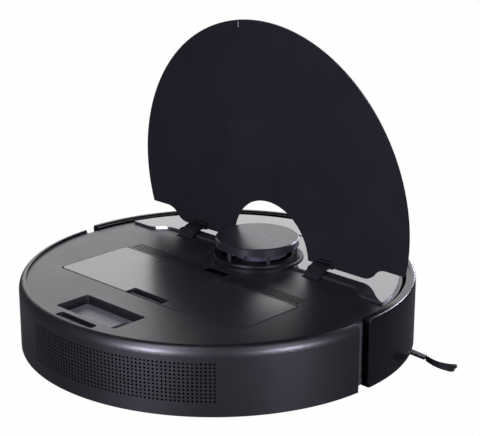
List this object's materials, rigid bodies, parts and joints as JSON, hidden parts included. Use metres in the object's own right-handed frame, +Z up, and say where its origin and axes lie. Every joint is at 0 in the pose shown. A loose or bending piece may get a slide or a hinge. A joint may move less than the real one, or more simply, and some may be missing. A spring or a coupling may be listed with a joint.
{
  "type": "robot vacuum cleaner",
  "caption": "Round robot vacuum with an open hinged lid, lift-out dust box, scanning turret, sprung bumper, drive wheels, caster, main brush and side brush.",
  "frame": {"origin": "on the floor, under the axis of the round body", "axes": "+Z up, +Y the way the robot drives, towards the bumper, +X the robot's right side"},
  "size_m": [0.3688, 0.3588, 0.2967],
  "materials": {
    "shell": "satin moulded shell",
    "bumper": "polished",
    "glossy_deck": "mirror polished",
    "satin_deck": "satin",
    "lid": "fine matt",
    "turret": "satin",
    "inner_black": "matt moulded",
    "window": "dark infrared window",
    "tool_grey": "matt",
    "box_clear": "smoked",
    "filter_white": "pleated paper",
    "steel": "bright",
    "contact": "plated",
    "board": "circuit board",
    "cell_wrap": "shrink wrap",
    "rubber": "matt",
    "wheel_grey": "matt",
    "button": "polished",
    "bristle": "nylon bristle"
  },
  "bodies": {
    "root": {"chassis_base": "inner_black", "front_wall": "inner_black", "rear_skirt": "shell", "exhaust_grille": "shell", "top_deck": "satin_deck", "front_deck": "glossy_deck", "ribbed_strip": "satin_deck", "reset_lens": "window", "dust_well": "inner_black", "brush_chamber": "inner_black", "brush_guard": "inner_black", "brush_gearbox": "inner_black", "battery": "cell_wrap", "battery_door": "inner_black", "main_board": "board", "fan_housing": "inner_black", "lidar_tub": "inner_black", "lidar_motor": "steel", "lidar_belt": "rubber", "turret_base": "turret", "hinge_pins": "steel", "suspension_pins": "steel", "side_brush_gearbox": "inner_black", "charging_contacts": "contact", "cliff_windows": "window", "base_screws": "steel"},
    "lid": {"lid_panel": "lid", "hinge_arms": "lid"},
    "dust_box": {"dust_box": "box_clear", "dust_box_panel": "satin_deck", "dust_filter": "filter_white"},
    "dust_box_clip": {"dust_box_clip": "inner_black"},
    "cleaning_tool": {"cleaning_tool": "tool_grey"},
    "turret_cap": {"turret_cap": "turret"},
    "lidar_rotor": {"lidar_rotor": "window"},
    "lidar_pulley": {"lidar_pulley": "inner_black"},
    "fan_impeller": {"fan_impeller": "inner_black"},
    "bumper": {"bumper_shell": "bumper", "bumper_window": "window"},
    "power_button": {"power_button": "button"},
    "home_button": {"home_button": "button"},
    "right_arm": {"right_suspension_arm": "inner_black"},
    "left_arm": {"left_suspension_arm": "inner_black"},
    "right_wheel": {"right_wheel_hub": "wheel_grey", "right_tyre": "rubber"},
    "left_wheel": {"left_wheel_hub": "wheel_grey", "left_tyre": "rubber"},
    "caster_fork": {"caster_fork": "inner_black"},
    "caster_wheel": {"caster_wheel": "wheel_grey"},
    "main_brush": {"main_brush_core": "inner_black", "main_brush_fins": "rubber"},
    "side_brush": {"side_brush_hub": "inner_black", "side_brush_tuft_1": "bristle", "side_brush_tuft_2": "bristle", "side_brush_tuft_3": "bristle"}
  },
  "joints": [
    {"name": "lid_hinge", "type": "hinge", "parent": "root", "child": "lid", "pos_m": [0, 0.0644, 0.0675], "axis": [-1, 0, 0], "range_deg": [-86, 0]},
    {"name": "dust_box_lift", "type": "slide", "parent": "root", "child": "dust_box", "axis": [0, 0, 1], "range_m": [0, 0.09]},
    {"name": "clip_press", "type": "slide", "parent": "dust_box", "child": "dust_box_clip", "axis": [0, 1, 0], "range_m": [0, 0.0025], "stiffness_N_per_m": 600},
    {"name": "tool_lift", "type": "slide", "parent": "root", "child": "cleaning_tool", "axis": [0, 0, 1], "range_m": [0, 0.06]},
    {"name": "turret_cap_press", "type": "slide", "parent": "root", "child": "turret_cap", "axis": [0, 0, -1], "range_m": [0, 0.0012], "stiffness_N_per_m": 2000, "springref_m": -0.001},
    {"name": "lidar_spin", "type": "hinge", "parent": "root", "child": "lidar_rotor", "pos_m": [0, 0.0535, 0.08], "axis": [0, 0, 1], "continuous": true},
    {"name": "pulley_spin", "type": "hinge", "parent": "root", "child": "lidar_pulley", "pos_m": [0, 0.0995, 0.065], "axis": [0, 0, 1], "continuous": true},
    {"name": "fan_spin", "type": "hinge", "parent": "root", "child": "fan_impeller", "pos_m": [0.033, -0.125, 0.038], "axis": [0, 0, 1], "continuous": true},
    {"name": "bumper_press", "type": "slide", "parent": "root", "child": "bumper", "axis": [0, -1, 0], "range_m": [0, 0.003], "stiffness_N_per_m": 900, "springref_m": -0.002},
    {"name": "power_press", "type": "slide", "parent": "root", "child": "power_button", "axis": [0, 0, -1], "range_m": [0, 0.0012], "stiffness_N_per_m": 800, "springref_m": -0.0008},
    {"name": "home_press", "type": "slide", "parent": "root", "child": "home_button", "axis": [0, 0, -1], "range_m": [0, 0.0012], "stiffness_N_per_m": 800, "springref_m": -0.0008},
    {"name": "right_suspension", "type": "hinge", "parent": "root", "child": "right_arm", "pos_m": [0.105, 0.03, 0.036], "axis": [1, 0, 0], "range_deg": [0, 25], "stiffness_Nm_per_rad": 0.3, "springref_deg": 45.84},
    {"name": "left_suspension", "type": "hinge", "parent": "root", "child": "left_arm", "pos_m": [-0.105, 0.03, 0.036], "axis": [1, 0, 0], "range_deg": [0, 25], "stiffness_Nm_per_rad": 0.3, "springref_deg": 45.84},
    {"name": "right_wheel_spin", "type": "hinge", "parent": "right_arm", "child": "right_wheel", "pos_m": [0.123, -0.012, 0.035], "axis": [1, 0, 0], "continuous": true},
    {"name": "left_wheel_spin", "type": "hinge", "parent": "left_arm", "child": "left_wheel", "pos_m": [-0.123, -0.012, 0.035], "axis": [1, 0, 0], "continuous": true},
    {"name": "caster_swivel", "type": "hinge", "parent": "root", "child": "caster_fork", "pos_m": [0, 0.138, 0.03], "axis": [0, 0, 1], "continuous": true},
    {"name": "caster_roll", "type": "hinge", "parent": "caster_fork", "child": "caster_wheel", "pos_m": [0, 0.133, 0.014], "axis": [1, 0, 0], "continuous": true},
    {"name": "main_brush_spin", "type": "hinge", "parent": "root", "child": "main_brush", "pos_m": [0, 0.016, 0.022], "axis": [1, 0, 0], "continuous": true},
    {"name": "side_brush_spin", "type": "hinge", "parent": "root", "child": "side_brush", "pos_m": [0.102, 0.098, 0.008], "axis": [0, 0, 1], "continuous": true}
  ],
  "couplings": [
    {"joint": "pulley_spin", "follows": "lidar_spin", "ratio": 5.2}
  ]
}
